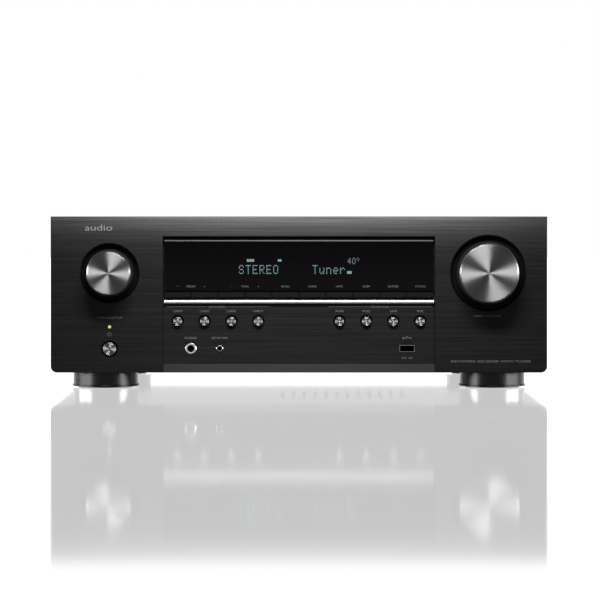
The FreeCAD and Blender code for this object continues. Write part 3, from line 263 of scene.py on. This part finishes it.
FINISH = {
    "fascia": brushed_black("fascia_black", (0.0125, 0.0125, 0.0127), rise=5.1 * MM, dishes_and_gap_shades=[
        (SOURCE_DIAL, 25.5 * MM), (VOLUME_DIAL, 32.8 * MM), (POWER, 7.3 * MM)]),
    # Painted shade: a black circle in the gap round each quick-select and sound-mode button.
    "centre": brushed_black("centre_black", (0.013, 0.013, 0.0132), rise=0, dishes_and_gap_shades=[
        (middle(button), 5.5 * MM) for button in QUICK + SOUND]),
    "lip": plain("lip_black", grey(0.006), 0.45, metallic=1, grain=0.05),
    "window": plain("smoked_window", grey(0.0003), 0.08, specular=0.1, grain=0.01, grain_scale=60),
    # Painted highlight, partly real reflection: the window's top bevel is a lighter metal than the window, so
    # it shows as a bright line.
    "window_edge_highlight": plain("window_edge_highlight", grey(0.10), 0.3, metallic=1, grain=0.03),
    "display": plain("display_glass", (0.012, 0.016, 0.016), 0.1, coat=0.5, grain=0.02),
    "trim": plain("silver_trim", grey(0.25), 0.5, metallic=1, grain=0.05, grain_scale=1500),
    "key": plain("key_black", grey(0.0012), 0.42, specular=0.1, grain=0.06, grain_scale=2500,
                 bump=0.004 * MM),
    "knob_side": plain("knob_grey", (0.055, 0.055, 0.056), 0.32, metallic=1, grain=0.05, grain_scale=1200),
    "spun": spun("spun_alloy", grey(0.092), 0.42, 0.95),
    "button": spun("button_alloy", grey(0.11), 0.40, 0.93),
    # Painted shade of the gap round each round button: its sides and chamfer are near-black.
    "button_side_shade": plain("button_side_shade", grey(0.006), 0.5, metallic=1, grain=0.04),
    "antenna": plain("antenna_black", grey(0.006), 0.62, specular=0.12, grain=0.05, bump=0.008 * MM),
    "shaft": plain("shaft_steel", grey(0.55), 0.3, metallic=1, grain=0.05),
    "ring": plain("bright_ring", grey(0.8), 0.22, metallic=1, grain=0.04),
    "dark_ring": plain("dark_ring", grey(0.16), 0.3, metallic=1, grain=0.04),
    "moulding": plain("black_moulding", grey(0.012), 0.42, grain=0.06, bump=0.006 * MM),
    "shell": plain("plated_shell", grey(0.28), 0.34, metallic=1, grain=0.08),
    "steel": plain("black_steel", grey(0.007), 0.5, specular=0.3, grain=0.05, grain_scale=2600,
                   bump=0.02 * MM),
    "zinc": plain("zinc_steel", (0.14, 0.14, 0.143), 0.5, metallic=1, grain=0.12, grain_scale=120),
    "foot": plain("foot_black", grey(0.018), 0.24, metallic=1, grain=0.02),
    "pad": plain("foot_pad", grey(0.05), 0.9, grain=0.05, bump=0.03 * MM),
    "screw": plain("black_screw", grey(0.03), 0.3, metallic=0.8, grain=0.06),
    "board": board_finish("circuit_board"),
    "core": plain("iron_core", (0.05, 0.045, 0.04), 0.5, metallic=0.6, grain=0.15, grain_scale=400),
    "sink": plain("heatsink_alloy", (0.5, 0.5, 0.51), 0.38, metallic=1, grain=0.08),
    "red": plain("cap_red", (0.33, 0.008, 0.008), 0.25, coat=0.3, grain=0.04),
    "black_cap": plain("cap_black", grey(0.013), 0.25, coat=0.3, grain=0.04),
    "gold": plain("gold_plate", (0.75, 0.52, 0.2), 0.24, metallic=1, grain=0.05),
    "back_print": plain("back_print", grey(0.45), 0.6, grain=0.02),
    "lamp": glow("power_lamp", (0.60, 0.70, 0.22), 1.0),
    "digits": glow("display_light", (0.30, 0.46, 0.48), 0.55),
    "print": plain("panel_print", grey(0.034), 0.6, grain=0.02),
    "faint_print": plain("faint_print", grey(0.016), 0.6, grain=0.02),
    "mark": plain("silver_mark", grey(0.075), 0.4, metallic=0.2, grain=0.04),
    # Painted shade: the recess behind the window and the keys is near-black with almost no shine.
    "bay": plain("bay_shade", grey(0.007), 0.7, specular=0.05, grain=0.03),
    # Painted shade for the insides of the sockets: near-black with no shine.
    "dark": plain("hollow_shade", grey(0.0006), 0.8, specular=0.0, grain=0.02),
}


def paint(node, finish):
    """Gives a CAD node its finish."""
    materials = NODES[node].data.materials
    materials.clear()
    materials.append(FINISH[finish])


def paint_where(node, finish, test):
    """Gives a further finish to the faces whose centre and outward direction pass a test."""
    mesh = NODES[node].data
    mesh.materials.append(FINISH[finish])
    index = len(mesh.materials) - 1
    for face in mesh.polygons:
        if test(face.center, face.normal):
            face.material_index = index


NODE_FINISH = {
    "front_panel": "fascia", "centre_panel": "centre", "display_window": "window", "trim_bar": "trim",
    "display_module": "display", "control_board": "board", "phones_jack": "ring", "mic_jack": "dark_ring",
    "usb_port": "shell", "power_button": "button", "source_knob": "knob_side", "volume_knob": "knob_side",
    "source_knob_face": "spun", "volume_knob_face": "spun", "source_encoder_shaft": "shaft",
    "volume_encoder_shaft": "shaft", "chassis": "zinc", "top_cover": "steel", "rear_panel": "steel",
    "feet": "foot", "case_screws": "screw", "speaker_terminals": "moulding", "digital_board": "shell",
    "input_board": "board", "ac_inlet": "moulding", "transformer": "core", "heatsink": "sink",
    "amplifier_board": "board", "left_antenna_base": "antenna", "left_antenna_rod": "antenna",
    "right_antenna_base": "antenna", "right_antenna_rod": "antenna",
}
for node_name in NODES:
    if node_name.startswith("key_"):
        paint(node_name, "key")
    elif node_name in QUICK + SOUND:
        paint(node_name, "button")
    elif node_name.startswith("cap_"):
        paint(node_name, "red" if node_name.endswith("plus") else "black_cap")
    else:
        paint(node_name, NODE_FINISH[node_name])


def within(at, middle_x, middle_z, half_wide, half_high):
    """Whether a face lies inside an upright rectangle, seen along Y."""
    return abs(at.x - middle_x) < half_wide and abs(at.z - middle_z) < half_high


BAY_FRONT, BAY_BACK, BAY_HALF_WIDE = PANEL_Y + 3 * MM, PANEL_Y + 9 * MM, 119.5 * MM
LIP_TOP = 30 * MM                                   # the centre panel's sloped lip is below this
PAD_TOP = 0.5 * MM                                  # the feet's pads are below this
JACK_INSIDE = PANEL_Y + 2.7 * MM                    # behind the rims of the two front jacks
USB_HALF_WIDE, USB_HALF_HIGH = 6.3 * MM, 2.6 * MM   # inside the shell
PLUG_HALF_WIDE, PLUG_HALF_HIGH = 5.95 * MM, 4.05 * MM       # inside the network socket
BOARD_LOW, BOARD_HIGH = 121 * MM, 124.2 * MM        # the board under the video sockets
BOARD_EDGE = BACK_Y - 3.9 * MM
JACK_BODIES, JACK_BARRELS = BACK_Y - 11.8 * MM, BACK_Y + 1.1 * MM   # where the rear jacks' parts begin
POSTS = BACK_Y + 5.6 * MM                           # where the speaker terminals' metal begins
BLADE_NEAR, BLADE_FAR = 5.9 * MM, 8.1 * MM          # the inlet's two blades, from its middle outwards
BLADE_HALF_HIGH = 2.3 * MM
BLADE_BACK, BLADE_FRONT = BACK_Y - 16.9 * MM, BACK_Y - 1.5 * MM

# Painted shade in the recess behind the window and the keys.
paint_where("front_panel", "bay", lambda at, out:
            BAY_FRONT < at.y < BAY_BACK and abs(at.x) < BAY_HALF_WIDE)
# Painted highlight: only the window's upward-facing bevel gets the lighter metal finish.
paint_where("display_window", "window_edge_highlight", lambda at, out: out.z > 0.3 and out.y < -0.3)
# Each round button's sides and chamfer take painted shade from the gap round it.
for button in QUICK + SOUND + ["power_button"]:
    paint_where(button, "button_side_shade", lambda at, out: out.y > -0.95)
paint_where("centre_panel", "lip", lambda at, out: out.z > 0.1 and at.z < LIP_TOP)
paint_where("feet", "pad", lambda at, out: at.z < PAD_TOP)
# Painted shade inside the two front jacks and the USB shell.
for jack in ("phones_jack", "mic_jack"):
    paint_where(jack, "dark", lambda at, out: at.y > JACK_INSIDE)
paint_where("usb_port", "dark", lambda at, out: within(at, USB.x, USB.z, USB_HALF_WIDE, USB_HALF_HIGH))
paint_where("control_board", "lamp", lambda at, out:
            (at - Vector((POWER.x, at.y, POWER_LAMP_Z))).length < POWER_LAMP_RADIUS)
paint_where("digital_board", "board", lambda at, out: BOARD_LOW < at.z < BOARD_HIGH and at.y < BOARD_EDGE)
# Painted shade inside the network socket's mouth.
paint_where("digital_board", "dark", lambda at, out:
            within(at, NETWORK.x, NETWORK.z, PLUG_HALF_WIDE, PLUG_HALF_HIGH) and at.y < BACK_Y)
paint_where("input_board", "moulding", lambda at, out: at.y > JACK_BODIES)
paint_where("input_board", "gold", lambda at, out: at.y > JACK_BARRELS)
paint_where("speaker_terminals", "gold", lambda at, out: at.y > POSTS)
paint_where("ac_inlet", "shaft", lambda at, out:
            abs(at.z - INLET_Z) < BLADE_HALF_HIGH and BLADE_NEAR < abs(at.x - INLET_X) < BLADE_FAR
            and BLADE_BACK < at.y < BLADE_FRONT)


# ---------------------------------------------------------------- geometry of the small pieces


def own(thing, finish):
    """Finishes a new piece, and has it ride on the main body."""
    thing.data.materials.clear()
    thing.data.materials.append(FINISH[finish])
    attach(thing, "root")


def mesh_piece(name, vertices, faces):
    """A new mesh object from its points and faces."""
    data = bpy.data.meshes.new(name)
    data.from_pydata(vertices, [], faces)
    data.update()
    thing = bpy.data.objects.new(name, data)
    bpy.context.scene.collection.objects.link(thing)
    return thing


SUNK = 0.02 * MM    # how far the backs of thin pieces lie inside the face that they are on


def tiles(name, cells, y, finish, thick=0.06 * MM):
    """Thin raised rectangles (x, z, width, height) in the plane y, facing the front, as one piece."""
    vertices, faces = [], []
    for x, z, width, height in cells:
        first = len(vertices)
        for depth in (y - thick, y + SUNK):
            vertices += [(x, depth, z), (x + width, depth, z),
                         (x + width, depth, z + height), (x, depth, z + height)]
        faces += [(first, first + 1, first + 2, first + 3), (first + 7, first + 6, first + 5, first + 4)]
        for side in range(4):
            after = (side + 1) % 4
            faces.append((first + after, first + side, first + side + 4, first + after + 4))
    own(mesh_piece(name, vertices, faces), finish)


CAP_SHARE = 0.73    # a capital's height as a share of the font's size


def lettering(name, words, finish, facing="front"):
    """Printed words as thin raised letters. Each is (text, x, y, z, cap height, width or None)."""
    made = []
    for text, x, y, z, cap, width in words:
        curve = bpy.data.curves.new(name, "FONT")
        curve.body = text
        curve.align_x = "CENTER"
        curve.size = cap / CAP_SHARE
        curve.extrude = 0.03 * MM
        curve.resolution_u = 3
        thing = bpy.data.objects.new(name, curve)
        bpy.context.scene.collection.objects.link(thing)
        bpy.context.view_layer.update()
        squeeze = Matrix.Diagonal((width / thing.dimensions.x if width else 1, 1, 1, 1))
        turn = Matrix.Rotation(radians(90), 4, "X")
        if facing == "back":
            turn = Matrix.Rotation(pi, 4, "Z") @ turn
        thing.matrix_world = Matrix.Translation((x, y, z - cap / 2)) @ turn @ squeeze
        made.append(thing)
    bpy.ops.object.select_all(action="DESELECT")
    for thing in made:
        thing.select_set(True)
    bpy.context.view_layer.objects.active = made[0]
    bpy.ops.object.convert(target="MESH")
    if len(made) > 1:
        bpy.ops.object.join()
    whole = bpy.context.view_layer.objects.active
    bpy.ops.object.transform_apply(location=True, rotation=True, scale=True)
    whole.name = name
    own(whole, finish)


# Each character of the display is a grid of five by seven dots; a row is a five-bit number, top row first.
DOTS = {
    "S": (14, 17, 16, 14, 1, 17, 14), "T": (31, 4, 4, 4, 4, 4, 4), "E": (31, 16, 16, 30, 16, 16, 31),
    "R": (30, 17, 17, 30, 20, 18, 17), "O": (14, 17, 17, 17, 17, 17, 14), "u": (0, 0, 17, 17, 17, 19, 13),
    "n": (0, 0, 30, 17, 17, 17, 17), "e": (0, 0, 14, 17, 31, 16, 14), "r": (0, 0, 22, 25, 16, 16, 16),
    "4": (2, 6, 10, 18, 31, 2, 2), "0": (14, 17, 17, 17, 17, 17, 14), "5": (31, 16, 30, 1, 1, 17, 14),
}
DOT_FILL = 0.72    # a dot's side as a share of the dots' spacing


def dot_text(text, left, low, high, pitch, wide):
    """Cells of the lit dots of a word, starting at left, between two heights."""
    across, down = wide / 5, (high - low) / 7
    cells = []
    for place, letter in enumerate(text):
        for row, bits in enumerate(DOTS[letter]):
            for column in range(5):
                if bits >> (4 - column) & 1:
                    cells.append((left + place * pitch + column * across, high - (row + 1) * down,
                                  across * DOT_FILL, down * DOT_FILL))
    return cells


# ---------------------------------------------------------------- display, print and small parts of the front

base = middle("display_module").z - 7.7 * MM    # foot of the display's large characters
large_top, small_foot, small_top = base + 8 * MM, base + 8.7 * MM, base + 14.1 * MM
lit = dot_text("STEREO", -52.4 * MM, base, large_top, pitch=6 * MM, wide=4.4 * MM)
lit += dot_text("Tuner", 12 * MM, base, large_top, pitch=6 * MM, wide=4.4 * MM)
lit += dot_text("40", 42.7 * MM, small_foot, small_top, pitch=3.9 * MM, wide=3 * MM)
lit += dot_text("5", 50.8 * MM, base + 11.3 * MM, small_top, pitch=2.4 * MM, wide=1.8 * MM)
lit += [((-45.5 + 2.2 * n) * MM, base + 10.6 * MM, 1.9 * MM, 2.3 * MM) for n in range(3)]
lit += [(-18.4 * MM, base + 10.8 * MM, 3.2 * MM, 1.9 * MM), (42.1 * MM, base + 0.1 * MM, 4 * MM, 2.3 * MM)]
tiles("display_characters", lit, WINDOW_Y, "digits")

KEY_LABEL_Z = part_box("display_window")[0].z + 3.7 * MM
BUTTON_LABEL_Z = middle(QUICK[0]).z + 9 * MM
SOCKET_LABEL_Z = PHONES.z + 9.4 * MM
GROUP_LABEL_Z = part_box("trim_bar")[0].z - 2.7 * MM
THIN = 0.04 * MM    # how far printed lines and signs stand out

key_x = [middle("key_" + key).x for key in KEYS]
key_words = [("−", key_x[0]), ("PRESET", (key_x[0] + key_x[1]) / 2), ("+", key_x[1]),
             ("−", key_x[2]), ("TUNE", (key_x[2] + key_x[3]) / 2), ("+", key_x[3])]
key_words += zip(("BAND", "MODE", "INFO", "SLEEP", "DIMMER", "STATUS"), key_x[4:])
lettering("key_labels", [(text, x, WINDOW_Y, KEY_LABEL_Z, 1.9 * MM, None) for text, x in key_words],
          "faint_print")

button_x = [middle(button).x for button in QUICK + SOUND]
button_words = ("1 INPUT", "2 INPUT", "3 INPUT", "4 INPUT", "MOVIE", "MUSIC", "GAME", "PURE")
words = [(text, x, CENTRE_Y, BUTTON_LABEL_Z, 1.8 * MM, None) for text, x in zip(button_words, button_x)]
words += [("QUICK SELECT", -70.9 * MM, CENTRE_Y, GROUP_LABEL_Z, 1.5 * MM, 16 * MM),
          ("SOUND MODE", 70.6 * MM, CENTRE_Y, GROUP_LABEL_Z, 1.5 * MM, 16 * MM),
          ("PHONES", PHONES.x, CENTRE_Y, SOCKET_LABEL_Z, 1.9 * MM, 10.5 * MM),
          ("SETUP MIC", MIC.x, CENTRE_Y, SOCKET_LABEL_Z, 1.9 * MM, 14 * MM),
          ("5V 1A", USB.x, CENTRE_Y, USB.z - 8.1 * MM, 1.8 * MM, 9.5 * MM)]
lettering("centre_panel_labels", words, "print")

# Each group's line stops on both sides of its word. Ends in millimetres.
group_lines = [(low * MM, GROUP_LABEL_Z - 0.15 * MM, (high - low) * MM, 0.32 * MM)
               for low, high in ((-115.7, -80.2), (-61.6, -25.4), (25.7, 61.2), (80, 116))]
tiles("group_lines", group_lines, CENTRE_Y, "faint_print", THIN)

lettering("panel_labels", [
    ("INPUT SELECTOR", SOURCE_DIAL.x, PANEL_Y, 62 * MM, 1.9 * MM, 22.4 * MM),
    ("MAIN VOLUME", VOLUME_DIAL.x - 0.7 * MM, PANEL_Y, 63.6 * MM, 1.9 * MM, 24 * MM),
    ("NETWORK RECEIVER WITH TUNER", 167.8 * MM, PANEL_Y, 23.9 * MM, 2 * MM, 70 * MM)], "print")
lettering("panel_mark", [("audio", -175 * MM, PANEL_Y, 141 * MM, 5.6 * MM, 24 * MM)], "mark")

STROKE = 0.32 * MM                                  # side of the standby sign's dots, width of its bar
STANDBY_Z, STANDBY_RADIUS = 47.5 * MM, 1.45 * MM
GAP_HALF, DOT_COUNT = 40, 27                        # half the sign's open angle in degrees, dots of its arc
standby = []
for step in range(DOT_COUNT):
    angle = radians(90 + GAP_HALF + step * (360 - 2 * GAP_HALF) / (DOT_COUNT - 1))
    standby.append((POWER.x + STANDBY_RADIUS * cos(angle) - STROKE / 2,
                    STANDBY_Z + STANDBY_RADIUS * sin(angle) - STROKE / 2, STROKE, STROKE))
standby.append((POWER.x - STROKE / 2, STANDBY_Z + 0.3 * MM, STROKE, 1.6 * MM))
tiles("standby_symbol", standby, PANEL_Y, "print", THIN)

# The data sign is a fork on its side: a stem with its two ends and a bent prong.
trident = [(91.4 * MM, 44 * MM, 6.4 * MM, 0.4 * MM), (97 * MM, 43.6 * MM, 1.2 * MM, 1.2 * MM),
           (90.6 * MM, 43.5 * MM, 1.4 * MM, 1.4 * MM), (93.4 * MM, 44.3 * MM, 0.4 * MM, 1.3 * MM),
           (93.4 * MM, 45.2 * MM, 2.2 * MM, 0.4 * MM)]
tiles("data_symbol", trident, CENTRE_Y, "print", THIN)

# ---------------------------------------------------------------- print on the back

BACK_PRINT_Y = BACK_Y + 0.02 * MM
video_words = [f"IN {n}" for n in range(1, 7)] + ["OUT"]
channel_words = ("FRONT R", "FRONT L", "CENTRE", "SURROUND R", "SURROUND L")
back_words = [(text, VIDEO_FIRST - n * VIDEO_PITCH, 135.5 * MM, 2.2 * MM)
              for n, text in enumerate(video_words)]
back_words += [("NETWORK", NETWORK.x, 104.5 * MM, 1.8 * MM),
               ("OPTICAL 1", 147 * MM, 111 * MM, 1.6 * MM),
               ("OPTICAL 2", 128 * MM, 111 * MM, 1.6 * MM),
               ("COAXIAL", 107 * MM, 112 * MM, 1.6 * MM),
               ("AERIAL", 177 * MM, 74 * MM, 1.8 * MM),
               ("AC IN", INLET_X, 60 * MM, 2.6 * MM),
               ("SPEAKERS", TERMINAL_FIRST - 2 * TERMINAL_PITCH, 66 * MM, 2.6 * MM)]
back_words += [(text, TERMINAL_FIRST - n * TERMINAL_PITCH, 60.5 * MM, 1.8 * MM)
               for n, text in enumerate(channel_words)]
back_words += [(str(n + 1), JACK_FIRST - n * JACK_PITCH, 86.5 * MM, 2.2 * MM) for n in range(4)]
lettering("back_labels", [(text, x, BACK_PRINT_Y, z, cap, None) for text, x, z, cap in back_words],
          "back_print", facing="back")

# ---------------------------------------------------------------- floor, lights and camera

WHITE = (1, 1, 1, 1)
SKY_FRONT, SKY_BACK = 0.12, 1.0    # brightness of the room in front of the receiver and behind it


def area_light(name, place, aim, size, power):
    """A rectangular lamp that faces a point."""
    data = bpy.data.lights.new(name, "AREA")
    data.shape = "RECTANGLE"
    data.size, data.size_y = size
    data.energy = power
    lamp = bpy.data.objects.new(name, data)
    lamp.location = place
    lamp.rotation_euler = (Vector(aim) - Vector(place)).to_track_quat("-Z", "Y").to_euler()
    bpy.context.scene.collection.objects.link(lamp)
    return lamp


def limit(lamp, state, things):
    """Lets a lamp light only the things (INCLUDE), or everything but them (EXCLUDE)."""
    linked = bpy.data.collections.new(lamp.name + "_lights")
    for thing in things:
        linked.objects.link(thing)
    for entry in linked.collection_objects:
        entry.light_linking.link_state = state
    lamp.light_linking.receiver_collection = linked


FLOOR_REACH, FLOOR_Z = 8, -0.2 * MM
corners = [(x * FLOOR_REACH, y * FLOOR_REACH, FLOOR_Z) for x, y in ((-1, -1), (1, -1), (1, 1), (-1, 1))]
floor = mesh_piece("floor", corners, [(0, 1, 2, 3)])
floor_finish, floor_shader, _, _ = new_material("studio_floor")
floor_shader.inputs["Base Color"].default_value = (*grey(0.02), 1)
floor_shader.inputs["Roughness"].default_value = 0.06
floor_shader.inputs["Emission Color"].default_value = WHITE
floor_shader.inputs["Emission Strength"].default_value = 0.55
floor.data.materials.append(floor_finish)

# The room is white to the camera, and lights the receiver less from the front than from behind.
world = bpy.data.worlds.new("studio")
bpy.context.scene.world = world
world.use_nodes = True
sky = world.node_tree
seen_sky, lit_sky = sky.nodes["Background"], sky.nodes.new("ShaderNodeBackground")
seen_sky.inputs["Color"].default_value = WHITE
towards = sky.nodes.new("ShaderNodeSeparateXYZ")
sky.links.new(sky.nodes.new("ShaderNodeTexCoord").outputs["Generated"], towards.inputs["Vector"])
tones = sky.nodes.new("ShaderNodeMapRange")
for socket, value in (("From Min", -0.3), ("From Max", 0.6), ("To Min", SKY_FRONT), ("To Max", SKY_BACK)):
    tones.inputs[socket].default_value = value
sky.links.new(towards.outputs["Y"], tones.inputs["Value"])
sky.links.new(tones.outputs["Result"], lit_sky.inputs["Color"])
choose = sky.nodes.new("ShaderNodeMixShader")
sky.links.new(sky.nodes.new("ShaderNodeLightPath").outputs["Is Camera Ray"], choose.inputs["Fac"])
sky.links.new(lit_sky.outputs["Background"], choose.inputs[1])
sky.links.new(seen_sky.outputs["Background"], choose.inputs[2])
sky.links.new(choose.outputs["Shader"], sky.nodes["World Output"].inputs["Surface"])

SIDE_LAMP_X, LAMP_Y = 1.3, -0.50
bright_parts = ["source_knob", "source_knob_face", "volume_knob", "volume_knob_face", "power_button", "feet",
                "trim_bar", "phones_jack", "mic_jack"] + QUICK + SOUND
top_lamp = area_light("overhead", (0, -0.42, 0.50), aim=(0, -0.15, 0.14), size=(0.40, 0.08), power=20)
limit(top_lamp, "EXCLUDE", [floor, NODES["top_cover"]])
for name, x in (("left_side", -SIDE_LAMP_X), ("right_side", SIDE_LAMP_X)):
    side_lamp = area_light(name, (x, LAMP_Y, 0.22), aim=(0, LAMP_Y, 0.10), size=(1.2, 0.34), power=110)
    limit(side_lamp, "INCLUDE", [NODES[node] for node in bright_parts])

DISTANCE = 2.6                 # camera to the front panel
VIEW_WIDTH = 524.34 * MM       # what the picture's width covers at the front panel
VIEW_MIDDLE_Z = 77.5 * MM      # height that is in the middle of the picture
SENSOR = 36                    # the camera's sensor, in millimetres
CAMERA_Z = 150.6 * MM

camera_data = bpy.data.cameras.new("camera")
camera_data.sensor_width = SENSOR
camera_data.lens = SENSOR * DISTANCE / VIEW_WIDTH
camera_data.shift_x = 0.0018
camera_data.shift_y = (VIEW_MIDDLE_Z - CAMERA_Z) / VIEW_WIDTH
camera_data.clip_end = 50
camera = bpy.data.objects.new("camera", camera_data)
camera.location = (0, PANEL_Y - DISTANCE, CAMERA_Z)
camera.rotation_euler = (radians(90), 0, 0)
bpy.context.scene.collection.objects.link(camera)
bpy.context.scene.camera = camera
bpy.context.scene.view_settings.view_transform = "Standard"
